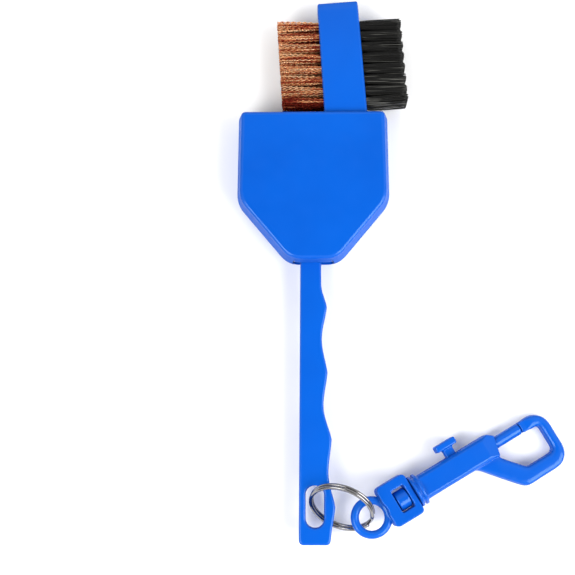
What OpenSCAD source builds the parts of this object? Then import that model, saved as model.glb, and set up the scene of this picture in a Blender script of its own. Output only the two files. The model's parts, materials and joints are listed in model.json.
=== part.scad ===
// Golf club groove brush: double-sided bristle head on a cranked handle, sliding bristle cover,
// split ring and swivel snap hook. Lies on its back: +Y towards the bristle head, +Z up.
// The origin is near the middle of the cover's flat back face, on its centre line. Millimetres
// and degrees.

/* [Handle] */
// Thickness of the handle and neck
handle_t = 5; // [4:0.1:5.2]
// Width of the plain neck that the cover slides along
neck_w = 6.8; // [6:0.1:7]
// Distance between the finger bumps
grip_pitch = 21.4; // [20:0.1:21.6]
// Length of the ring slot at the handle's end
slot_length = 13.4; // [13:0.1:13.8]
// Width of the ring slot
slot_w = 5.9; // [5.7:0.1:6]
// Angle between the neck inside the cover and the handle
crank_angle = 17; // [16:0.5:18]

/* [Bristle head] */
// Thickness of the bristle block
block_t = 10; // [9.6:0.1:10.4]
// Width of the bristle block at its free end
block_top_w = 13.4; // [13:0.1:13.6]
// Width of the bristle block at the cover's mouth
block_base_w = 14; // [13.5:0.1:14.2]
// Lean of the bristle block away from the handle's line
block_lean = 3.9; // [3.5:0.1:4.4]
// Tufts in each row
tufts_per_row = 8; // [6:1:8]
// Distance between tufts along the row
tuft_pitch = 3.75; // [3.6:0.05:3.75]
// Distance between the front, middle and back rows
row_pitch = 3.1; // [3.05:0.05:3.2]
// Bristle length standing out of the block
bristle_length = 13.9; // [12:0.1:14]

/* [Cover] */
// Thickness of the closed cover, front to back
cover_t = 15; // [14.8:0.1:16]
// Width of the cover at its mouth
cover_mouth_w = 49.2; // [48.6:0.1:50]
// Width of the cover at its shoulders
cover_shoulder_w = 50.2; // [49.6:0.1:51]
// Width of the cover's flat lower end
cover_foot_w = 16.4; // [15.9:0.1:17]
// Wall thickness of both shells
wall = 1.7; // [1.6:0.1:1.8]

/* [Split ring] */
// Outer diameter of the split ring
ring_od = 21.5; // [21.3:0.1:21.9]
// Width of the ring wire, measured towards the ring's centre
ring_wire_w = 1.3; // [1.1:0.1:1.4]
// Thickness of one of the ring's two turns
ring_wire_t = 1; // [0.8:0.1:1]

/* [Snap hook] */
// Radius of the hole in the swivel eye
eye_hole_r = 4.05; // [4:0.05:4.2]
// Radius of the round bar of the swivel eye
eye_bar_r = 1.35; // [1.2:0.05:1.4]
// Radius of the sliding bolt
bolt_r = 1.9; // [1.7:0.05:1.9]
// Travel of the bolt from closed to open
bolt_travel = 8; // [6:0.5:8]

/* [Hidden] */

BLUE = [0.05, 0.42, 0.95];
COPPER = [0.72, 0.42, 0.26];
BLACK = [0.08, 0.08, 0.08];
STEEL = [0.75, 0.75, 0.77];

mid_z = cover_t / 2;
corner_steps = 6;
overcut = 1;

// Cover: its levels along the handle's line, corner radii, and the draft and edge of each face.
mouth_y = 24.4;
shoulder_y = -6.3;
foot_y = -26.5;
mouth_corner_r = 2.5;
shoulder_corner_r = 9;
foot_corner_r = 8;
side_draft = 1;
face_round = 1.3;
round_steps = 4;
inner_corner_r = 0.5;
face_wall = 1.7;
foot_slot_w = 13;
foot_slot_t = handle_t + 0.3;
seam_lip_w = 0.7;
seam_lip_h = 1;
seam_lip_root = 1.5;
seam_lip_overlap = 0.3;
seam_gap = 0.1;
mouth_depth = 5;
merge = 0.2;
rib_gap = 0.35;
rib_w = 1.2;
rib_length = 9;
pin_r = 1.2;
pin_gap = 0.05;
pin_length = 4;
boss_r = 2.3;
boss_hole_depth = 4.3;
pin_root = 2.3;
pin_spots = [[13.5, -9.5], [-13.5, -9.5], [8.3, -18.6], [-8.3, -18.6]];

// Handle: its straight edge, the neck's line and the levels of the grip.
neck_x = -0.85;
handle_left_top = neck_x - neck_w / 2;
handle_left_end = -4.9;
handle_end_y = -116.5;
handle_end_r = 1.5;
crank_y = -24;
bend_length = 1;
grip_start_y = -33;
first_bump_y = -40.5;
last_dip_drop = 11.5;
bump_x = [4.35, 4.5, 5.75, 6.8];
dip_x = [2.7, 3.15, 4.65, 5.3];
grip_steps = 8;
slot_centre = [0.25, -104.5];

// Bristle block: its axis crosses the cover's mouth at block_x.
block_x = 10.75;
block_base_y = 18;
block_top_y = 61.5;
block_top_chamfer = 3;
block_top_drop = 0.8;
neck_blend = 4;
neck_shift = 0.4;
neck_lap = 1;
first_tuft_y = 53.7;
tuft_angle = 0.6;
hole_r = 1.3;
hole_depth = 5;
tuft_root_r = 1.25;
tuft_tip_r = 1.5;
tuft_root_depth = 4.8;
anchor_w = 3;
anchor_t = 0.4;
anchor_h = 1.6;
anchor_depth = 3.2;

// Split ring: centre, tilt out of the table's plane and turn about Z.
ring_pos = [8.8, -104.6, 9.95];
ring_tilt = 52;
ring_turn = -21.3;
ring_coil_gap = 0.06;
ring_crossover = 15;
ring_chamfer = 0.22;
ring_end_gap = 1;
ring_steps = 112;

// Snap hook: all its parts share a frame with +X along the hook from the eye's centre.
clip_pos = [18.3, -107.8, 8.6];
clip_yaw = 30.5;
clip_pitch = 5.6;
cage_start = 5;
cage_end = 15.5;
cage_y = 0.1;
cage_half_w = 7;
cage_t = 7;
cage_corner_r = 1.5;
window_start = 9;
window_end = 13.6;
window_half_w = 3.9;
window_corner_r = 0.5;
stem_r = 2.1;
stem_gap = 0.08;
stem_head_r = 3.3;
stem_head_start = 9.4;
stem_head_end = 13.3;
collar_start = 15.9;
collar_end = 18.4;
collar_r = 5.25;
groove_r = 4.6;
groove_w = 0.7;
barrel_w = 8;
barrel_t = 7.8;
barrel_r = 4.9;
barrel_end = 45.6;
barrel_tip = 47.2;
barrel_chamfer = 1.6;
barrel_bevel = 2.2;
axis_y = -0.2;
bore_gap = 0.09;
bore_start = 18;
bolt_start = 30;
bolt_end = 57.4;
tip_r = 1.2;
tip_gap = 0.2;
stud_centre = 32.2;
stud_stem_l = 3.5;
stud_stem_t = 2.8;
stud_head_l = 7.3;
stud_head_w = 2.2;
stud_head_t = 5;
stud_top = 8.7;
slot_play = 0.2;
arm_t = 4.4;
nose_start = 56.2;
nose_half_w = 1.8;
spring_r = 1.3;
spring_wire_r = 0.2;
spring_turns = 8;
spring_turn_steps = 14;
spring_wire_sides = 6;
spring_gap = 0.15;

// ---------- shared geometry ----------

function unit(v) = v / norm(v);

function short_turn(a) = a > 180 ? a - 360 : a < -180 ? a + 360 : a;

// Points of the arc of radius r that rounds corner b between its neighbours a and c.
function corner_arc(a, b, c, r) =
    let (p = unit(a - b), q = unit(c - b), half = acos(p * q) / 2,
        centre = b + unit(p + q) * r / sin(half),
        from = b + p * r / tan(half) - centre,
        to = b + q * r / tan(half) - centre,
        start = atan2(from.y, from.x),
        turn = short_turn(atan2(to.y, to.x) - start))
    [for (i = [0:corner_steps]) centre + r * [cos(start + turn * i / corner_steps),
        sin(start + turn * i / corner_steps)]];

function neighbour(points, i) = points[(i + len(points)) % len(points)];

// A polygon with each corner rounded by its own radius.
function rounded(points, radii) =
    [for (i = [0:len(points) - 1])
        each corner_arc(neighbour(points, i - 1), points[i], neighbour(points, i + 1), radii[i])];

// The corners of a convex polygon moved inwards by d.
function inset(points, d) =
    [for (i = [0:len(points) - 1])
        let (p = unit(neighbour(points, i - 1) - points[i]),
            q = unit(neighbour(points, i + 1) - points[i]))
        points[i] + unit(p + q) * d / sin(acos(p * q) / 2)];

// A closed tube: rings is a list of rings, each a list of the same number of points.
module tube(rings) {
    sides = len(rings[0]);
    last = len(rings) - 1;
    polyhedron(
        points = [for (ring = rings) each ring],
        faces = [
            [for (j = [sides - 1:-1:0]) j],
            for (i = [0:last - 1], j = [0:sides - 1])
                [i * sides + j, i * sides + (j + 1) % sides,
                    (i + 1) * sides + (j + 1) % sides, (i + 1) * sides + j],
            [for (j = [0:sides - 1]) last * sides + j]
        ]);
}

// ---------- brush body ----------

function crank_x(y) = neck_x + (y - crank_y) * tan(crank_angle);

// The grip's edge: it falls from each bump into a longer, flatter dip. Bumps and dips reach
// further out towards the handle's end.
function bump_y(i) = first_bump_y - i * grip_pitch;
function swing(a, b, t) = a + (b - a) * (1 - cos(180 * t)) / 2;
function fall(bump, dip, t) = (bump + (dip - bump) * sin(90 * t) + swing(bump, dip, t)) / 2;
function grip_x(i, t) = i % 2 == 0 ? fall(grip_reach[i + 1], grip_reach[i], 1 - t)
    : fall(grip_reach[i], grip_reach[i + 1], t);
grip_levels = [grip_start_y,
    for (i = [0:3]) each [bump_y(i), bump_y(i) - (i < 3 ? grip_pitch / 2 : last_dip_drop)]];
grip_reach = [neck_x + neck_w / 2, for (i = [0:3]) each [bump_x[i], dip_x[i]]];
grip_edge = [for (i = [0:len(grip_levels) - 2], k = [0:grip_steps - 1])
    [grip_x(i, k / grip_steps),
        grip_levels[i] + (grip_levels[i + 1] - grip_levels[i]) * k / grip_steps]];

module handle_outline() {
    right_end = dip_x[3];
    end_corners = [each corner_arc([right_end, slot_centre.y], [right_end, handle_end_y],
            [handle_left_end, handle_end_y], handle_end_r),
        each corner_arc([right_end, handle_end_y], [handle_left_end, handle_end_y],
            [handle_left_top, crank_y], handle_end_r)];
    half = neck_w / 2;
    slant = half / cos(crank_angle);
    neck_top = block_base_y + neck_lap;
    polygon([each grip_edge, each end_corners,
        [neck_x - half, crank_y - bend_length],
        [crank_x(crank_y) - slant, crank_y],
        [crank_x(neck_top) - slant, neck_top],
        [crank_x(neck_top) + slant, neck_top],
        [crank_x(crank_y) + slant, crank_y],
        [neck_x + half, crank_y - bend_length]]);
}

module ring_slot() {
    reach = (slot_length - slot_w) / 2;
    translate([slot_centre.x, slot_centre.y, mid_z]) {
        cube([slot_w, 2 * reach, handle_t + overcut], center = true);
        for (side = [-1, 1])
            translate([0, side * reach, 0])
                cylinder(r = slot_w / 2, h = handle_t + overcut, center = true, $fn = 48);
    }
}

// The block is drawn with its axis along Y through the origin of its own leaning frame.
module at_block() {
    translate([block_x, mouth_y, mid_z]) rotate([0, 0, block_lean]) children();
}

function block_half_w(y) =
    let (t = (y - mouth_y) / (block_top_y - mouth_y))
    (block_base_w + (block_top_w - block_base_w) * t) / 2;

// The block's plan cut to its side view: it blends into the neck and is thinner at its free end.
module bristle_block() {
    top = block_top_y - mouth_y;
    base = block_base_y - mouth_y;
    full = base + neck_blend;
    neck = crank_x(block_base_y) - block_x + neck_shift;
    front = block_t / 2;
    at_block() intersection() {
        translate([0, 0, -front]) linear_extrude(block_t)
            polygon([[neck - neck_w / 2, base], [neck + neck_w / 2, base],
                [block_half_w(full + mouth_y), full], [block_half_w(block_top_y), top],
                [-block_half_w(block_top_y), top], [-block_half_w(full + mouth_y), full]]);
        rotate([90, 0, 90]) linear_extrude(2 * block_base_w, center = true)
            polygon([[base, -handle_t / 2], [full, -front], [top - block_top_chamfer, -front],
                [top, block_top_drop - front], [top, front - block_top_drop],
                [top - block_top_chamfer, front], [full, front], [base, handle_t / 2]]);
    }
}

// Each tuft frame has its origin on the block's axis and +X along the bristles. side is 1 for the
// nylon side and -1 for the copper side; level is 1 for the front row, 0 middle and -1 back.
module at_tufts(side, level) {
    for (i = [0:tufts_per_row - 1])
        let (y = first_tuft_y - i * tuft_pitch,
            x = block_x - (y - mouth_y) * tan(block_lean))
        translate([x, y, mid_z + level * row_pitch])
            rotate([0, 0, side > 0 ? tuft_angle : 180 + tuft_angle])
                translate([block_half_w(y), 0, 0])
                    children();
}

module tuft_hole() {
    translate([-hole_depth, 0, 0]) rotate([0, 90, 0])
        cylinder(r = hole_r, h = hole_depth + overcut, $fn = 24);
}

module anchor() {
    translate([-anchor_depth - anchor_h / 2, 0, 0])
        cube([anchor_h, anchor_w, anchor_t], center = true);
}

module brush_body() {
    color(BLUE) difference() {
        union() {
            translate([0, 0, mid_z - handle_t / 2]) linear_extrude(handle_t) handle_outline();
            bristle_block();
        }
        ring_slot();
        for (side = [-1, 1], level = [-1:1]) at_tufts(side, level) {
            tuft_hole();
            anchor();
        }
    }
}

module tuft() {
    difference() {
        union() {
            translate([-tuft_root_depth, 0, 0]) rotate([0, 90, 0])
                cylinder(r = tuft_root_r, h = tuft_root_depth, $fn = 24);
            rotate([0, 90, 0]) cylinder(r1 = tuft_root_r, r2 = tuft_tip_r, h = bristle_length, $fn = 24);
        }
        anchor();
    }
}

module copper_tufts(level) {
    color(COPPER) at_tufts(-1, level) tuft();
}

module nylon_tufts(level) {
    color(BLACK) at_tufts(1, level) tuft();
}

module anchors(side, level) {
    color(STEEL) at_tufts(side, level) anchor();
}

// ---------- cover ----------

cover_corners = [[cover_mouth_w / 2, mouth_y], [-cover_mouth_w / 2, mouth_y],
    [-cover_shoulder_w / 2, shoulder_y], [-cover_foot_w / 2, foot_y],
    [cover_foot_w / 2, foot_y], [cover_shoulder_w / 2, shoulder_y]];
cover_radii = [mouth_corner_r, mouth_corner_r, shoulder_corner_r,
    foot_corner_r, foot_corner_r, shoulder_corner_r];

function cover_outline(d) = rounded(inset(cover_corners, d), [for (r = cover_radii) r - d]);

// A solid half of the cover, seam at z = 0: its sides lean in towards the flat outer face, which
// has a small round edge.
module half_blank() {
    hull() {
        linear_extrude(seam_gap) polygon(cover_outline(0));
        for (i = [0:round_steps])
            let (a = 90 * i / round_steps)
            linear_extrude(mid_z - face_round + face_round * sin(a))
                polygon(cover_outline(side_draft + face_round * (1 - cos(a))));
    }
}

// The hollow of one half, open at the mouth.
module half_hollow() {
    inner = rounded(inset(cover_corners, wall), [for (r = cover_radii) max(r - wall, inner_corner_r)]);
    translate([0, 0, -overcut]) linear_extrude(mid_z - face_wall + overcut) {
        polygon(inner);
        translate([-cover_mouth_w / 2 + wall, mouth_y - mouth_depth])
            square([cover_mouth_w - 2 * wall, 2 * mouth_depth]);
    }
}

module foot_slot() {
    translate([0, foot_y + wall / 2, 0])
        cube([foot_slot_w, 3 * wall, foot_slot_t], center = true);
}

// Guide ribs beside the neck, parallel to the way the cover slides.
module guide_ribs() {
    start = foot_y + wall - merge;
    for (side = [-1, 1])
        let (near = (neck_w / 2 + rib_gap) / cos(crank_angle),
            x = crank_x(start) + (side > 0 ? near : -near - rib_w))
        translate([0, 0, seam_gap]) linear_extrude(mid_z - face_wall - seam_gap + merge)
            polygon([[x, start], [x + rib_w, start],
                [x + rib_w + rib_length * tan(crank_angle), start + rib_length],
                [x + rib_length * tan(crank_angle), start + rib_length]]);
}

// A rim that stands along the seam between insets a and b of the outline, left out at the mouth
// and at the neck's slot.
module seam_rim(a, b, z0, h) {
    translate([0, 0, z0]) linear_extrude(h) difference() {
        polygon(cover_outline(a));
        polygon(cover_outline(b));
        translate([-cover_mouth_w / 2, mouth_y - mouth_depth / 2]) square([cover_mouth_w, mouth_depth]);
        translate([-foot_slot_w / 2 - overcut, foot_y - overcut])
            square([foot_slot_w + 2 * overcut, 2 * wall + overcut]);
    }
}

// Both shells are drawn with the seam at z = 0 and the outer face upwards.
module cover_front_shell() {
    color(BLUE) translate([0, 0, mid_z]) {
        difference() {
            half_blank();
            half_hollow();
            foot_slot();
        }
        guide_ribs();
        for (p = pin_spots) translate([p.x, p.y, 0]) {
            translate([0, 0, seam_gap]) cylinder(r = boss_r, h = mid_z - face_wall, $fn = 32);
            translate([0, 0, -pin_length]) cylinder(r = pin_r, h = pin_length + pin_root, $fn = 32);
        }
        seam_rim(wall - seam_lip_w, wall + seam_lip_overlap, -seam_lip_h, seam_lip_h + seam_lip_root);
    }
}

module cover_back_shell() {
    color(BLUE) translate([0, 0, mid_z]) mirror([0, 0, 1]) difference() {
        union() {
            difference() {
                half_blank();
                half_hollow();
                foot_slot();
            }
            guide_ribs();
            for (p = pin_spots) translate([p.x, p.y, seam_gap])
                cylinder(r = boss_r, h = mid_z - face_wall, $fn = 32);
        }
        for (p = pin_spots) translate([p.x, p.y, -overcut])
            cylinder(r = pin_r + pin_gap, h = boss_hole_depth + overcut, $fn = 32);
        seam_rim(wall - seam_lip_w - seam_gap, wall + overcut, -overcut,
            seam_lip_h + seam_gap + overcut);
    }
}

// ---------- split ring ----------

// Height of the wire's centre at angle a: it lies in the lower turn, steps over, and lies in the upper.
function coil_height(a) =
    let (t = min(max((a - 360 + ring_crossover) / (2 * ring_crossover), 0), 1))
    (ring_wire_t + ring_coil_gap) / 2 * (swing(0, 2, t) - 1);

module split_ring() {
    mean_r = ring_od / 2 - ring_wire_w / 2;
    w = ring_wire_w / 2;
    h = ring_wire_t / 2;
    c = ring_chamfer;
    section = [[w, -h + c], [w, h - c], [w - c, h], [-w + c, h], [-w, h - c],
        [-w, -h + c], [-w + c, -h], [w - c, -h]];
    start = ring_crossover + ring_end_gap;
    color(STEEL) translate(ring_pos) rotate([ring_tilt, 0, ring_turn])
        tube([for (i = [0:ring_steps])
            let (a = start + (2 * 360 - 2 * start) * i / ring_steps)
            [for (s = section)
                [(mean_r + s.x) * cos(a), (mean_r + s.x) * sin(a), s.y + coil_height(a)]]]);
}

// ---------- snap hook ----------

module at_clip() {
    translate(clip_pos) rotate([0, clip_pitch, clip_yaw]) children();
}

module along_axis(start, end, r) {
    translate([start, axis_y, 0]) rotate([0, 90, 0]) cylinder(r = r, h = end - start, $fn = 48);
}

module rounded_bar(x0, x1, half_w, t, r) {
    translate([0, cage_y, -t / 2]) linear_extrude(t)
        polygon(rounded([[x1, half_w], [x0, half_w], [x0, -half_w], [x1, -half_w]], [r, r, r, r]));
}

module swivel_eye() {
    color(BLUE) at_clip() difference() {
        union() {
            rotate_extrude($fn = 72) translate([eye_hole_r + eye_bar_r, 0]) circle(r = eye_bar_r, $fn = 24);
            difference() {
                rounded_bar(cage_start, cage_end, cage_half_w, cage_t, cage_corner_r);
                cylinder(r = eye_hole_r + eye_bar_r, h = cage_t + overcut, center = true, $fn = 72);
            }
        }
        rounded_bar(window_start, window_end, window_half_w, cage_t + overcut, window_corner_r);
        along_axis(window_end - overcut, cage_end + overcut, stem_r + stem_gap);
    }
}

// Two ridges with a groove between them.
module collar() {
    ridge = (collar_end - collar_start - groove_w) / 2;
    along_axis(collar_start, collar_start + ridge, collar_r);
    along_axis(collar_start, collar_end, groove_r);
    along_axis(collar_end - ridge, collar_end, collar_r);
}

// The barrel's open end leans, and is cut back on the side of the thumb stud and at the front.
module barrel() {
    half = barrel_w / 2;
    front = barrel_t / 2;
    intersection() {
        along_axis(collar_start, barrel_tip, barrel_r);
        translate([0, axis_y, -front]) linear_extrude(barrel_t)
            polygon([[0, -half], [barrel_end, -half], [barrel_tip, half - barrel_chamfer],
                [barrel_tip - barrel_bevel, half], [0, half]]);
        rotate([90, 0, 0]) linear_extrude(2 * barrel_w, center = true)
            polygon([[0, -front], [barrel_tip, -front], [barrel_tip, front - barrel_chamfer],
                [barrel_tip - 2 * barrel_bevel, front], [0, front]]);
    }
}

// The hook's outline: out from the barrel, round the loop, and back to the nose that holds the bolt.
hook_points = [[31, -3.2], [37.3, -4.4], [48.3, -16.85], [64.9, -16.6], [64.9, axis_y + nose_half_w],
    [nose_start, axis_y + nose_half_w], [nose_start, axis_y - nose_half_w],
    [62.2, axis_y - nose_half_w], [62.2, -12.1], [51.4, -12.1], [45.3, -5.2], [45.3, -2.6]];
hook_radii = [0.3, 5, 2.5, 5.2, 5.3, 0.4, 0.4, 1.3, 2, 2, 0.8, 0.3];

module hook_arm() {
    translate([0, 0, -arm_t / 2]) linear_extrude(arm_t) polygon(rounded(hook_points, hook_radii));
}

module hook_body() {
    color(BLUE) at_clip() difference() {
        union() {
            along_axis(stem_head_start, stem_head_end, stem_head_r);
            along_axis(stem_head_start, collar_end, stem_r);
            collar();
            barrel();
            hook_arm();
        }
        along_axis(bore_start, barrel_tip + overcut, bolt_r + bore_gap);
        along_axis(nose_start - overcut, bolt_end + tip_gap, tip_r + bore_gap);
        translate([stud_centre - stud_stem_l / 2 - bolt_travel - slot_play, axis_y,
            -stud_stem_t / 2 - slot_play])
            cube([bolt_travel + stud_stem_l + 2 * slot_play, barrel_r + overcut,
                stud_stem_t + 2 * slot_play]);
    }
}

module trigger_bolt() {
    color(BLUE) at_clip() {
        along_axis(bolt_start, nose_start - tip_gap, bolt_r);
        along_axis(bolt_start, bolt_end, tip_r);
        translate([stud_centre - stud_stem_l / 2, axis_y, -stud_stem_t / 2])
            cube([stud_stem_l, stud_top - axis_y - stud_head_w / 2, stud_stem_t]);
        translate([stud_centre - stud_head_l / 2, stud_top - stud_head_w, -stud_head_t / 2])
            cube([stud_head_l, stud_head_w, stud_head_t]);
    }
}

module bolt_spring() {
    start = bore_start + spring_gap + spring_wire_r;
    run = bolt_start - bore_start - 2 * spring_gap - 2 * spring_wire_r;
    steps = spring_turns * spring_turn_steps;
    color(STEEL) at_clip() translate([start, axis_y, 0]) rotate([0, 90, 0])
        tube([for (i = [0:steps])
            let (a = 360 * spring_turns * i / steps)
            [for (j = [0:spring_wire_sides - 1])
                let (b = 360 * j / spring_wire_sides,
                    r = spring_r + spring_wire_r * cos(b))
                [r * cos(a), r * sin(a), run * i / steps + spring_wire_r * sin(b)]]]);
}

// ---------- nodes ----------

brush_body();
copper_tufts(1);  // copper_tufts_front
copper_tufts(0);  // copper_tufts_middle
copper_tufts(-1);  // copper_tufts_back
nylon_tufts(1);  // nylon_tufts_front
nylon_tufts(0);  // nylon_tufts_middle
nylon_tufts(-1);  // nylon_tufts_back
anchors(-1, 1);  // copper_anchors_front
anchors(-1, 0);  // copper_anchors_middle
anchors(-1, -1);  // copper_anchors_back
anchors(1, 1);  // nylon_anchors_front
anchors(1, 0);  // nylon_anchors_middle
anchors(1, -1);  // nylon_anchors_back
cover_front_shell();
cover_back_shell();
split_ring();
swivel_eye();
hook_body();
trigger_bolt();
bolt_spring();
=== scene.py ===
import json
import math
import bmesh
import bpy
import numpy as np
from mathutils import Matrix, Vector


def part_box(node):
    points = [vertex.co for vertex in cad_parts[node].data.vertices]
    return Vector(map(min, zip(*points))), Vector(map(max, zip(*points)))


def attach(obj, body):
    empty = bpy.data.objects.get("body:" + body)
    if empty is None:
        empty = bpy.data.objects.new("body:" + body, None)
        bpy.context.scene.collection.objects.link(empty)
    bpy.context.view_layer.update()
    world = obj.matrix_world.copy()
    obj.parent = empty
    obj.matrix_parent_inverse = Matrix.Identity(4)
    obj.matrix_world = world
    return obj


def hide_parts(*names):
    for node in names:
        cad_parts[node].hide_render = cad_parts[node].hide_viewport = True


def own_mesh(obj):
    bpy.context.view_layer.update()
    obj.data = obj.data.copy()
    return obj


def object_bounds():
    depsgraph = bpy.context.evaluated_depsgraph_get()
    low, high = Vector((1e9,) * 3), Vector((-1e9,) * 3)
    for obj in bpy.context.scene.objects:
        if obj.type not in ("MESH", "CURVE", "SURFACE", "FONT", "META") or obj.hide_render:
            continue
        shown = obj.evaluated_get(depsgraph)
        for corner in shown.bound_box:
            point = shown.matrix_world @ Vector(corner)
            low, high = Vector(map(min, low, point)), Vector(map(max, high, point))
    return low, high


# Looks of the club groove brush: the CAD parts with rounded edges in moulded plastic, every
# bristle as its own filament, a smooth split ring and a wound bolt spring. Metres, row frame.
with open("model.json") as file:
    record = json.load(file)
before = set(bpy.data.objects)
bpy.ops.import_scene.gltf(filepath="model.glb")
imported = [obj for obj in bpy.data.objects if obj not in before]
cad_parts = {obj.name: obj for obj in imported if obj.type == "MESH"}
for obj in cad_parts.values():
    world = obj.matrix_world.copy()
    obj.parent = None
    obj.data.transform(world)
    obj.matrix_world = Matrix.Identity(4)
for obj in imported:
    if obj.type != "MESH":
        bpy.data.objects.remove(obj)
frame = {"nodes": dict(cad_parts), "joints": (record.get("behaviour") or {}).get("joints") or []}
cad_low, cad_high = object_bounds()
nodes = frame["nodes"]
joints = {j["name"]: j for j in frame["joints"]}

MM = 0.001
SEED = 7

# ---------- camera, floor and light ----------

CAMERA_DISTANCE = 400 * MM
CAMERA_FOOT = (1.8 * MM, -84.2 * MM)
CAMERA_PITCH = 7.3
CAMERA_YAW = 1.5
CAMERA_LENS = 75.8
SENSOR = 36.0
CLIP_NEAR = 0.01
CLIP_FAR = 20

FLOOR_HALF = 3.0
FLOOR_DROP = 0.2 * MM
FLOOR_GREY = 0.97

# Where each light stands, the width of its disk in metres, and its power in watts.
LIGHTS = {
    "key_light": {"place": (0.68, -0.35, 0.66), "size": 0.8, "power": 10},
    "fill_light": {"place": (-0.52, -0.42, 0.8), "size": 0.6, "power": 6},
}

# The sky's grey at each height, from 0 at the horizon to 1 overhead.
SKY_LEVELS = [(0.04, 0.75), (0.1, 0.12), (0.5, 1.0), (0.88, 1.0), (0.97, 0.08)]
SKY_STRENGTH = 0.9


def add_camera():
    data = bpy.data.cameras.new("camera")
    data.lens = CAMERA_LENS
    data.sensor_width = SENSOR
    data.clip_start, data.clip_end = CLIP_NEAR, CLIP_FAR
    camera = bpy.data.objects.new("camera", data)
    camera.location = (*CAMERA_FOOT, CAMERA_DISTANCE)
    camera.rotation_euler = (math.radians(CAMERA_PITCH), math.radians(CAMERA_YAW), 0)
    bpy.context.scene.collection.objects.link(camera)
    bpy.context.scene.camera = camera


def add_area_light(name, place, target, size, power):
    data = bpy.data.lights.new(name, "AREA")
    data.shape, data.size, data.energy = "DISK", size, power
    light = bpy.data.objects.new(name, data)
    light.location = place
    light.rotation_euler = (Vector(target) - Vector(place)).to_track_quat("-Z", "Y").to_euler()
    bpy.context.scene.collection.objects.link(light)


def studio_world():
    """Soft white light from all round, with a dark ceiling and a dark band low down for contrast."""
    world = bpy.data.worlds.new("studio")
    world.use_nodes = True
    tree = world.node_tree
    coordinates = tree.nodes.new("ShaderNodeTexCoord")
    split = tree.nodes.new("ShaderNodeSeparateXYZ")
    tree.links.new(coordinates.outputs["Generated"], split.inputs["Vector"])
    stops = [(height, (grey, grey, grey)) for height, grey in SKY_LEVELS]
    color = add_ramp(tree, split.outputs["Z"], stops)
    tree.links.new(color, tree.nodes["Background"].inputs["Color"])
    tree.nodes["Background"].inputs["Strength"].default_value = SKY_STRENGTH
    return world


def add_stage():
    floor_mesh = bpy.data.meshes.new("floor")
    half = FLOOR_HALF
    corners = [(-half, -half, 0), (half, -half, 0), (half, half, 0), (-half, half, 0)]
    floor_mesh.from_pydata(corners, [], [(0, 1, 2, 3)])
    floor = bpy.data.objects.new("floor", floor_mesh)
    floor.location.z = cad_low.z - FLOOR_DROP
    bpy.context.scene.collection.objects.link(floor)
    material, shader = new_material("floor_paper")
    shader.inputs["Base Color"].default_value = (FLOOR_GREY, FLOOR_GREY, FLOOR_GREY, 1)
    shader.inputs["Roughness"].default_value = 0.9
    floor_mesh.materials.append(material)
    middle = (cad_low + cad_high) / 2
    for name, light in LIGHTS.items():
        add_area_light(name, light["place"], middle, light["size"], light["power"])
    bpy.context.scene.world = studio_world()
    bpy.context.scene.view_settings.view_transform = "Standard"


# ---------- materials ----------

# Between which levels the noise mostly lies.
NOISE_LOW = 0.3
NOISE_HIGH = 0.7
# How much a normal leans towards Z on an upright wall at most, and on a face at least.
WALL_LEAN = 0.1
FACE_LEAN = 0.5
STAIN_SHADE = 0.86


def new_material(name):
    material = bpy.data.materials.new(name)
    material.use_nodes = True
    return material, material.node_tree.nodes["Principled BSDF"]


def add_noise(tree, scale, detail, stretch=(1, 1, 1)):
    """Noise in the object's own space, so it doesn't depend on the view or on UVs."""
    coordinates = tree.nodes.new("ShaderNodeTexCoord")
    mapping = tree.nodes.new("ShaderNodeMapping")
    mapping.inputs["Scale"].default_value = stretch
    noise = tree.nodes.new("ShaderNodeTexNoise")
    noise.inputs["Scale"].default_value = scale
    noise.inputs["Detail"].default_value = detail
    tree.links.new(coordinates.outputs["Object"], mapping.inputs["Vector"])
    tree.links.new(mapping.outputs["Vector"], noise.inputs["Vector"])
    return noise.outputs["Fac"]


def add_ramp(tree, source, stops):
    ramp = tree.nodes.new("ShaderNodeValToRGB")
    while len(ramp.color_ramp.elements) < len(stops):
        ramp.color_ramp.elements.new(0.5)
    for element, (place, color) in zip(ramp.color_ramp.elements, stops):
        element.position = place
        element.color = (*color, 1)
    tree.links.new(source, ramp.inputs["Fac"])
    return ramp.outputs["Color"]


def add_range(tree, source, low, high):
    spread = tree.nodes.new("ShaderNodeMapRange")
    spread.inputs["From Min"].default_value = NOISE_LOW
    spread.inputs["From Max"].default_value = NOISE_HIGH
    spread.inputs["To Min"].default_value = low
    spread.inputs["To Max"].default_value = high
    tree.links.new(source, spread.inputs["Value"])
    return spread.outputs["Result"]


def add_lowest_bias(tree, source, low, high, amount):
    """The source, shifted by amount below the level low along Y and unchanged above high."""
    coordinates = tree.nodes.new("ShaderNodeTexCoord")
    split = tree.nodes.new("ShaderNodeSeparateXYZ")
    tree.links.new(coordinates.outputs["Object"], split.inputs["Vector"])
    fade = tree.nodes.new("ShaderNodeMapRange")
    fade.inputs["From Min"].default_value = low
    fade.inputs["From Max"].default_value = high
    fade.inputs["To Min"].default_value = amount
    fade.inputs["To Max"].default_value = 0
    tree.links.new(split.outputs["Y"], fade.inputs["Value"])
    total = tree.nodes.new("ShaderNodeMath")
    total.operation = "ADD"
    tree.links.new(source, total.inputs[0])
    tree.links.new(fade.outputs["Result"], total.inputs[1])
    return total.outputs["Value"]


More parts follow.
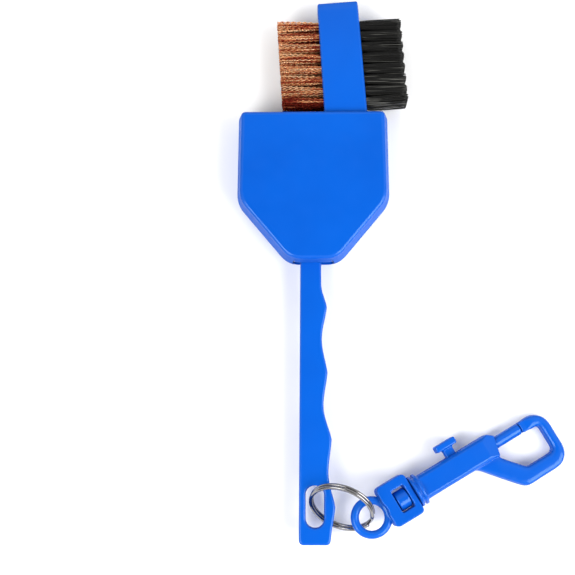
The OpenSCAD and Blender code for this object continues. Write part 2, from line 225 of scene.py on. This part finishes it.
def add_rough_walls(tree, source, amount):
    """The source, raised by amount on upright walls, so that they don't mirror the floor."""
    coordinates = tree.nodes.new("ShaderNodeTexCoord")
    split = tree.nodes.new("ShaderNodeSeparateXYZ")
    tree.links.new(coordinates.outputs["Normal"], split.inputs["Vector"])
    slope = tree.nodes.new("ShaderNodeMath")
    slope.operation = "ABSOLUTE"
    tree.links.new(split.outputs["Z"], slope.inputs[0])
    raised = tree.nodes.new("ShaderNodeMapRange")
    raised.inputs["From Min"].default_value = WALL_LEAN
    raised.inputs["From Max"].default_value = FACE_LEAN
    raised.inputs["To Min"].default_value = amount
    raised.inputs["To Max"].default_value = 0
    tree.links.new(slope.outputs["Value"], raised.inputs["Value"])
    total = tree.nodes.new("ShaderNodeMath")
    total.operation = "ADD"
    tree.links.new(source, total.inputs[0])
    tree.links.new(raised.outputs["Result"], total.inputs[1])
    return total.outputs["Value"]


def add_bump(tree, shader, source, strength, depth):
    bump = tree.nodes.new("ShaderNodeBump")
    bump.inputs["Strength"].default_value = strength
    bump.inputs["Distance"].default_value = depth
    tree.links.new(source, bump.inputs["Height"])
    tree.links.new(bump.outputs["Normal"], shader.inputs["Normal"])


def blue_plastic():
    """Satin moulded plastic: slow colour drift, patches of different gloss, a faint mould texture."""
    material, shader = new_material("blue_plastic")
    tree = material.node_tree
    drift = add_noise(tree, scale=35, detail=3)
    color = add_ramp(tree, drift, [(0.3, (0.002, 0.081, 0.47)), (0.7, (0.002, 0.095, 0.53))])
    tree.links.new(color, shader.inputs["Base Color"])
    gloss = add_range(tree, add_noise(tree, scale=260, detail=5), low=0.12, high=0.2)
    tree.links.new(add_rough_walls(tree, gloss, amount=0.55), shader.inputs["Roughness"])
    texture = add_noise(tree, scale=1800, detail=4)
    add_bump(tree, shader, texture, strength=0.12, depth=0.05 * MM)
    shader.inputs["Specular IOR Level"].default_value = 0.5
    shader.inputs["IOR"].default_value = 1.42
    shader.inputs["Specular Tint"].default_value = (0.62, 0.92, 1.0, 1)
    return material


def copper_wire():
    """Copper-coloured wire, from bright gold to the dark red of oxidised copper from one filament to
    the next.
    The palest filaments are a painted highlight, the dark red ones partly painted shade. The
    filaments nearest the cover are the darkest, with painted shade."""
    material, shader = new_material("copper_wire")
    tree = material.node_tree
    tarnish_and_painted_light = add_noise(tree, scale=1300, detail=2, stretch=(0.05, 1, 1))
    # Painted shade: the filaments nearest the cover, lowest along Y, are darkened.
    tarnish_and_painted_light = add_lowest_bias(tree, tarnish_and_painted_light, low=26.5 * MM, high=29.5 * MM, amount=-0.2)
    # The palest stops are a painted highlight; the dark red stops are partly oxide, partly painted
    # shade.
    color = add_ramp(tree, tarnish_and_painted_light, [(0.41, (0.24, 0.02, 0.01)), (0.48, (0.7, 0.18, 0.07)),
                                     (0.56, (1.0, 0.54, 0.25)), (0.64, (1.0, 0.64, 0.38))])
    tree.links.new(color, shader.inputs["Base Color"])
    gloss = add_range(tree, add_noise(tree, scale=900, detail=3), low=0.2, high=0.38)
    tree.links.new(gloss, shader.inputs["Roughness"])
    shader.inputs["Metallic"].default_value = 0.85
    return material


def black_nylon():
    """Black filament. A few filaments are painted grey as a painted highlight, most of them nearest
    the cover.
    """
    material, shader = new_material("black_nylon")
    tree = material.node_tree
    shade = add_noise(tree, scale=1500, detail=2, stretch=(0.04, 1, 1))
    # Painted highlight: more grey filaments nearest the cover, lowest along Y.
    shade = add_lowest_bias(tree, shade, low=26 * MM, high=38 * MM, amount=0.11)
    # The grey stop is a painted highlight.
    color = add_ramp(tree, shade, [(0.3, (0.003, 0.003, 0.003)), (0.62, (0.008, 0.008, 0.007)),
                                   (0.7, (0.1, 0.1, 0.09))])
    tree.links.new(color, shader.inputs["Base Color"])
    gloss = add_range(tree, add_noise(tree, scale=800, detail=2), low=0.35, high=0.5)
    tree.links.new(gloss, shader.inputs["Roughness"])
    shader.inputs["Specular IOR Level"].default_value = 0.3
    return material


def plated_steel(name, roughness_low, roughness_high, base):
    material, shader = new_material(name)
    tree = material.node_tree
    stain = add_noise(tree, scale=300, detail=4)
    stained = tuple(c * STAIN_SHADE for c in base)
    color = add_ramp(tree, stain, [(0.3, stained), (0.7, base)])
    tree.links.new(color, shader.inputs["Base Color"])
    rubbed = add_noise(tree, scale=1400, detail=5)
    gloss = add_range(tree, rubbed, roughness_low, roughness_high)
    tree.links.new(gloss, shader.inputs["Roughness"])
    add_bump(tree, shader, rubbed, strength=0.06, depth=0.02 * MM)
    shader.inputs["Metallic"].default_value = 1.0
    return material


# ---------- building pieces ----------

def add_piece(name, vertices, faces, material, body, replaced, smooth=True):
    mesh = bpy.data.meshes.new(name)
    mesh.from_pydata(np.asarray(vertices).tolist(), [], faces)
    mesh.update()
    mesh.materials.append(material)
    mesh.polygons.foreach_set("use_smooth", [smooth] * len(mesh.polygons))
    piece = bpy.data.objects.new(name, mesh)
    bpy.context.scene.collection.objects.link(piece)
    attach(piece, body)
    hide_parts(replaced)
    return piece


def tube_faces(rings, sides, first=0):
    """Faces of a closed tube of that many rings of points, with a flat cap at each end."""
    faces = []
    for i in range(rings - 1):
        a, b = first + i * sides, first + (i + 1) * sides
        for j in range(sides):
            k = (j + 1) % sides
            faces.append((a + j, a + k, b + k, b + j))
    faces.append(tuple(first + j for j in reversed(range(sides))))
    faces.append(tuple(first + (rings - 1) * sides + j for j in range(sides)))
    return faces


def sweep(path, radius, sides):
    """Rings of points round a path, each square to it."""
    tangent = np.gradient(path, axis=0)
    tangent /= np.linalg.norm(tangent, axis=1)[:, None]
    up = np.array([0.0, 0.0, 1.0])
    across = np.cross(up, tangent)
    across /= np.linalg.norm(across, axis=1)[:, None]
    over = np.cross(tangent, across)
    turn = np.arange(sides) * 2 * math.pi / sides
    ring = across[:, None] * np.cos(turn)[None, :, None] + over[:, None] * np.sin(turn)[None, :, None]
    return (path[:, None] + radius * ring).reshape(-1, 3)


# ---------- moulded parts ----------

SHARP = math.radians(30)
FLAT = math.radians(0.5)
WELD_GAP = 0.002 * MM
FACE_MARGIN = 0.35 * MM
BEVEL_STEPS = 3
BRUSH_EDGE = 0.7 * MM
COVER_EDGE = 0.18 * MM
BOLT_EDGE = 0.5 * MM
HOLE_MARGIN = 1 * MM
VOXEL = 0.2 * MM
SMOOTH_ROUNDS = 7
ARM_ROUNDS = 110
ARM_SWELL = 0.35 * MM
ARM_START = 36 * MM
ARM_BLEND = 7 * MM
ARM_BELOW_AXIS = 4.2 * MM
NOSE_START = 57.8 * MM
NOSE_BLEND = 2 * MM


def clean_copy(node):
    """The node's mesh with its seams welded and its flat faces whole, as a bmesh."""
    work = bmesh.new()
    work.from_mesh(nodes[node].data)
    bmesh.ops.remove_doubles(work, verts=work.verts, dist=WELD_GAP)
    bmesh.ops.dissolve_limit(work, angle_limit=FLAT, verts=work.verts, edges=work.edges)
    return work


def dress(mesh, name, material, body, node):
    mesh.materials.clear()
    mesh.materials.append(material)
    piece = bpy.data.objects.new(name, mesh)
    bpy.context.scene.collection.objects.link(piece)
    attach(piece, body)
    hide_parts(node)
    return piece


def apply_modifiers(piece):
    graph = bpy.context.evaluated_depsgraph_get()
    mesh = bpy.data.meshes.new_from_object(piece.evaluated_get(graph))
    piece.modifiers.clear()
    piece.data = mesh


def edged_part(name, node, body, material, width, holes=None):
    """A moulding whose sharp edges are rounded. Between the two levels given as holes, the rims
    inside its side faces are left as they are."""
    work = clean_copy(node)
    low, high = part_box(node)
    chosen = []
    for edge in work.edges:
        if len(edge.link_faces) != 2 or edge.calc_face_angle() < SHARP:
            continue
        if holes and all(holes[0] < v.co.y < holes[1]
                         and low.z + FACE_MARGIN < v.co.z < high.z - FACE_MARGIN
                         for v in edge.verts):
            continue
        chosen.append(edge)
    bmesh.ops.bevel(work, geom=chosen, offset=width, offset_type="OFFSET", segments=BEVEL_STEPS,
                    profile=0.5, affect="EDGES", clamp_overlap=False)
    bmesh.ops.triangulate(work, faces=[f for f in work.faces if len(f.verts) > 4])
    mesh = bpy.data.meshes.new(name)
    work.to_mesh(mesh)
    work.free()
    piece = dress(mesh, name, material, body, node)
    mesh.polygons.foreach_set("use_smooth", [True] * len(mesh.polygons))
    normals = piece.modifiers.new("normals", "WEIGHTED_NORMAL")
    normals.keep_sharp = True
    return piece


def arm_weight(point, origin, along, across):
    """0 on the barrel and stem, 1 on the hook's open arm, which has a round section. The nose's end
    stays as it is round the hole that the bolt's tip goes into."""
    offset = Vector(point) - origin
    u, v = offset.dot(along), offset.dot(across)
    if v > -ARM_BELOW_AXIS:
        return min(max((u - NOSE_START) / NOSE_BLEND, 0.0), 1.0)
    return min(max((u - ARM_START) / ARM_BLEND, 0.0), 1.0)


def cast_part(name, node, body, material, arm=False):
    """A moulding with soft corners all over, as the small clip parts have."""
    work = clean_copy(node)
    mesh = bpy.data.meshes.new(name)
    work.to_mesh(mesh)
    work.free()
    piece = dress(mesh, name, material, body, node)
    remesh = piece.modifiers.new("voxels", "REMESH")
    remesh.mode, remesh.voxel_size = "VOXEL", VOXEL
    apply_modifiers(piece)
    soft = piece.modifiers.new("soft", "SMOOTH")
    soft.factor, soft.iterations = 0.5, SMOOTH_ROUNDS
    if arm:
        along = Vector(joints["hook_swivel"]["axis"]).normalized()
        across = Vector((-along.y, along.x, 0)).normalized()
        origin = Vector(joints["hook_swivel"]["pos_m"])
        group = piece.vertex_groups.new(name="arm")
        for vertex in piece.data.vertices:
            weight = arm_weight(vertex.co, origin, along, across)
            if weight > 0:
                group.add([vertex.index], weight, "REPLACE")
        swell = piece.modifiers.new("swell_arm", "DISPLACE")
        swell.strength, swell.mid_level = ARM_SWELL, 0
        swell.vertex_group = "arm"
        rounder = piece.modifiers.new("round_arm", "SMOOTH")
        rounder.factor, rounder.iterations = 0.5, ARM_ROUNDS
        rounder.vertex_group = "arm"
    apply_modifiers(piece)
    piece.vertex_groups.clear()
    piece.data.polygons.foreach_set("use_smooth", [True] * len(piece.data.polygons))
    return piece


# ---------- bristles ----------

TUFTS = 8
TUFT_ROOT_R = 1.3 * MM
TUFT_TIP_R = 2.0 * MM
COPPER_FILAMENTS = 30
NYLON_FILAMENTS = 60
COPPER_R = 0.15 * MM
NYLON_R = 0.11 * MM
CRIMP_DEPTH = 0.16 * MM
CRIMP_LENGTH = 1.9 * MM
CRIMP_START = 2 * MM
CRIMP_PHASE_SPREAD = 0.7
CRIMP_PLANE_SPREAD = 0.5
SPOT_SHUFFLE = 0.04
STRAY = 0.14 * MM
TUFT_ANGLE = math.radians(0.6)
ROOT_DEPTH = 1.5 * MM
FREE_LENGTH = 13.9 * MM
CAD_TIP_R = 1.5 * MM
BLOCK_SHIFT = 0.2556 * MM
BLOCK_TAPER = 0.0303 * MM


def tuft_roots(node, side):
    """Where each tuft leaves the block, from the top one down. The row leans and widens with the
    block, so on each side only one end tuft reaches the CAD node's box."""
    low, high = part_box(node)
    level = (low.z + high.z) / 2
    tip = high.x if side > 0 else low.x
    rise = FREE_LENGTH * math.sin(TUFT_ANGLE)
    top = high.y - CAD_TIP_R - (rise if side > 0 else 0)
    bottom = low.y + CAD_TIP_R + (0 if side > 0 else rise)
    roots = []
    for i in range(TUFTS):
        if side > 0:
            inward = (TUFTS - 1 - i) * (BLOCK_SHIFT + BLOCK_TAPER)
        else:
            inward = i * (BLOCK_SHIFT - BLOCK_TAPER)
        y = top + (bottom - top) * i / (TUFTS - 1)
        roots.append(np.array([tip - side * (FREE_LENGTH + inward), y, level]))
    return roots


def filament_offsets(count, rng):
    """Even, slightly shuffled spots in a disc of radius 1."""
    index = np.arange(count) + 0.5
    radius = np.sqrt(index / count)
    angle = index * math.pi * (3 - math.sqrt(5))
    spots = np.stack([radius * np.cos(angle), radius * np.sin(angle)], 1)
    return spots + rng.normal(0, SPOT_SHUFFLE, spots.shape)


# Dome is how much shorter the outer filaments are and ragged how uneven the tips are, as shares of
# the length. Rise lifts the tip of the lowest tuft, and a low fan opens a tuft close to its root.
BRISTLES = {
    "copper": {"side": -1, "count": COPPER_FILAMENTS, "radius": COPPER_R, "steps": 68, "sides": 3,
               "crimp": CRIMP_DEPTH, "dome": 0.015, "ragged": 0.016, "rise": 0.0, "fan": 0.9},
    "nylon": {"side": 1, "count": NYLON_FILAMENTS, "radius": NYLON_R, "steps": 10, "sides": 5,
              "crimp": 0.0, "dome": 0.05, "ragged": 0.006, "rise": 0.9 * MM, "fan": 0.35},
}


def bristle_row(kind, row, material):
    make = BRISTLES[kind]
    side, radius, steps, sides = make["side"], make["radius"], make["steps"], make["sides"]
    name = f"{kind}_bristles_{row}"
    node = f"{kind}_tufts_{row}"
    rng = np.random.default_rng([SEED, sum(map(ord, name))])
    vertices, faces = [], []
    for number, root in enumerate(tuft_roots(node, side)):
        rise = make["rise"] if number == TUFTS - 1 else 0.0
        phase = rng.uniform(0, 2 * math.pi)
        plane = rng.uniform(-CRIMP_PLANE_SPREAD, CRIMP_PLANE_SPREAD)
        for spot in filament_offsets(make["count"], rng):
            run = FREE_LENGTH * (1 - make["dome"] * spot[0] ** 2 - abs(rng.normal(0, make["ragged"])))
            s = np.linspace(-ROOT_DEPTH, run, steps)
            out = np.clip(s / FREE_LENGTH, 0, 1)
            fan = out ** make["fan"]
            spread = TUFT_ROOT_R + (TUFT_TIP_R - TUFT_ROOT_R) * fan - radius
            bend = rng.normal(0, STRAY, 2)
            shift = phase + rng.normal(0, CRIMP_PHASE_SPREAD)
            wave = make["crimp"] * np.sin(2 * math.pi * s / CRIMP_LENGTH + shift)
            wave *= np.clip(s / CRIMP_START, 0, 1)
            y = spot[0] * spread + bend[0] * out + rise * out ** 2 + wave * math.cos(plane)
            z = spot[1] * np.minimum(spread, CAD_TIP_R) + bend[1] * out + wave * math.sin(plane)
            x = side * s * math.cos(TUFT_ANGLE)
            path = np.stack([x, y + side * s * math.sin(TUFT_ANGLE), z], 1) + root
            first = len(vertices) * steps * sides
            vertices.append(sweep(path, radius, sides))
            faces += tube_faces(steps, sides, first)
    return add_piece(name, np.concatenate(vertices), faces, material, "brush", node)


# ---------- ring and spring ----------

RING_OD = 21.5 * MM
RING_W = 1.3 * MM
RING_T = 1.0 * MM
RING_GAP = 0.06 * MM
RING_TILT = math.radians(52)
RING_TURN = math.radians(-21.3)
RING_SWEEP = 718
RING_START = 1
RING_STEP_OVER = 15
RING_STEPS = 400
RING_CORNER = 0.46 * MM


def rounded_section(width, height, corner, points=4):
    section = []
    for sx, sy, start in ((1, 1, 0), (-1, 1, 90), (-1, -1, 180), (1, -1, 270)):
        for i in range(points):
            a = math.radians(start + 90 * i / (points - 1))
            section.append((sx * (width / 2 - corner) + corner * math.cos(a),
                            sy * (height / 2 - corner) + corner * math.sin(a)))
    return section


def split_ring(material):
    """Two flat-wound turns that step over from one level to the other."""
    low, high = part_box("split_ring")
    centre = (low + high) / 2
    turned = Matrix.Rotation(RING_TURN, 4, "Z") @ Matrix.Rotation(RING_TILT, 4, "X")
    place = Matrix.Translation(centre) @ turned
    mean = (RING_OD - RING_W) / 2
    section = rounded_section(RING_W, RING_T, RING_CORNER)[::-1]
    vertices = []
    for i in range(RING_STEPS):
        wound = (RING_SWEEP - 2 * RING_STEP_OVER) * i / (RING_STEPS - 1)
        degrees = RING_STEP_OVER + RING_START + wound
        t = min(max((degrees - 360 + RING_STEP_OVER) / (2 * RING_STEP_OVER), 0), 1)
        height = (RING_T + RING_GAP) / 2 * (-math.cos(math.pi * t))
        a = math.radians(degrees)
        for x, y in section:
            point = Vector(((mean + x) * math.cos(a), (mean + x) * math.sin(a), y + height))
            vertices.append(tuple(place @ point))
    faces = tube_faces(RING_STEPS, len(section))
    return add_piece("split_ring_coil", vertices, faces, material, "ring", "split_ring")


SPRING_RUN = 11.3 * MM
SPRING_TURNS = 8
SPRING_R = 1.3 * MM
SPRING_WIRE_R = 0.2 * MM
SPRING_WIRE_SIDES = 8
SPRING_STEPS_PER_TURN = 28


def bolt_spring(material):
    """A round-wire helix along the barrel."""
    axis = -Vector(joints["bolt_slide"]["axis"])
    low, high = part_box("bolt_spring")
    centre = (low + high) / 2
    turn = axis.to_track_quat("X", "Z").to_matrix()
    steps = SPRING_TURNS * SPRING_STEPS_PER_TURN
    s = np.linspace(0, 1, steps)
    angle = s * SPRING_TURNS * 2 * math.pi
    local = np.stack([(s - 0.5) * SPRING_RUN, SPRING_R * np.cos(angle), SPRING_R * np.sin(angle)], 1)
    radial = np.stack([np.zeros(steps), np.cos(angle), np.sin(angle)], 1)
    around = -np.arange(SPRING_WIRE_SIDES) * 2 * math.pi / SPRING_WIRE_SIDES
    along = np.array([1.0, 0.0, 0.0])
    rings = local[:, None] + SPRING_WIRE_R * (
        radial[:, None] * np.cos(around)[None, :, None] + along * np.sin(around)[None, :, None])
    vertices = rings.reshape(-1, 3) @ np.array(turn).T + np.array(centre)
    spring = add_piece("bolt_spring_coil", vertices, tube_faces(steps, SPRING_WIRE_SIDES), material,
                       "hook", "bolt_spring")
    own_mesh(spring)
    return spring


# ---------- the object ----------

add_camera()
add_stage()

blue = blue_plastic()
tuft_low, tuft_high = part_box("nylon_tufts_middle")
edged_part("brush_moulding", "brush_body", "brush", blue, BRUSH_EDGE,
           holes=(tuft_low.y - HOLE_MARGIN, tuft_high.y + HOLE_MARGIN))
edged_part("cover_front", "cover_front_shell", "cover", blue, COVER_EDGE)
edged_part("cover_back", "cover_back_shell", "cover", blue, COVER_EDGE)
edged_part("bolt_and_thumb_stud", "trigger_bolt", "bolt", blue, BOLT_EDGE)
cast_part("swivel_eye_and_cage", "swivel_eye", "eye", blue)
cast_part("snap_hook_body", "hook_body", "hook", blue, arm=True)

anchor_steel = plated_steel("anchor_steel", 0.3, 0.45, (0.6, 0.6, 0.62))
copper = copper_wire()
nylon = black_nylon()
for row in ("front", "middle", "back"):
    bristle_row("copper", row, copper)
    bristle_row("nylon", row, nylon)
    for kind in BRISTLES:
        anchor = nodes[f"{kind}_anchors_{row}"]
        anchor.data.materials.clear()
        anchor.data.materials.append(anchor_steel)

split_ring(plated_steel("ring_steel", 0.08, 0.2, (0.27, 0.265, 0.27)))
bolt_spring(plated_steel("spring_steel", 0.22, 0.38, (0.62, 0.62, 0.64)))
